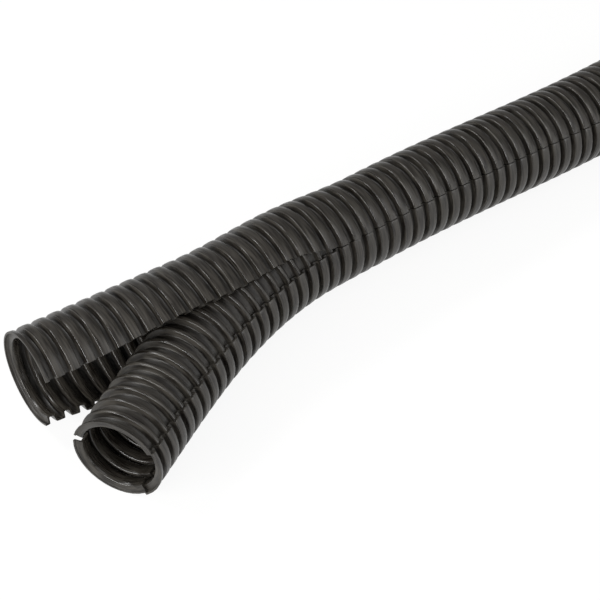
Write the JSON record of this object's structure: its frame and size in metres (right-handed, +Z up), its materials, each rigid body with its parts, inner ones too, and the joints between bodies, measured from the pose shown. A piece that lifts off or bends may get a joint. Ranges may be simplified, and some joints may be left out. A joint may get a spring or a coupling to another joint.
{
  "type": "divisible corrugated cable conduit",
  "caption": "Two-piece black corrugated cable conduit: a slit inner tube with a raised strip and a slotted cover snapped over it, pulled apart at one end.",
  "frame": {"origin": "centre of the cut at the closed end, on the axis of the joined run", "axes": "+X out of the closed end along the joined run; +Z up; the cover's slot and the inner tube's free end face -Y"},
  "size_m": [0.5006, 0.0626, 0.0359],
  "materials": {
    "inner_plastic": "satin moulded",
    "cover_plastic": "satin moulded"
  },
  "bodies": {
    "root": {"inner_tube": "inner_plastic", "cover_tube": "cover_plastic"}
  },
  "joints": []
}
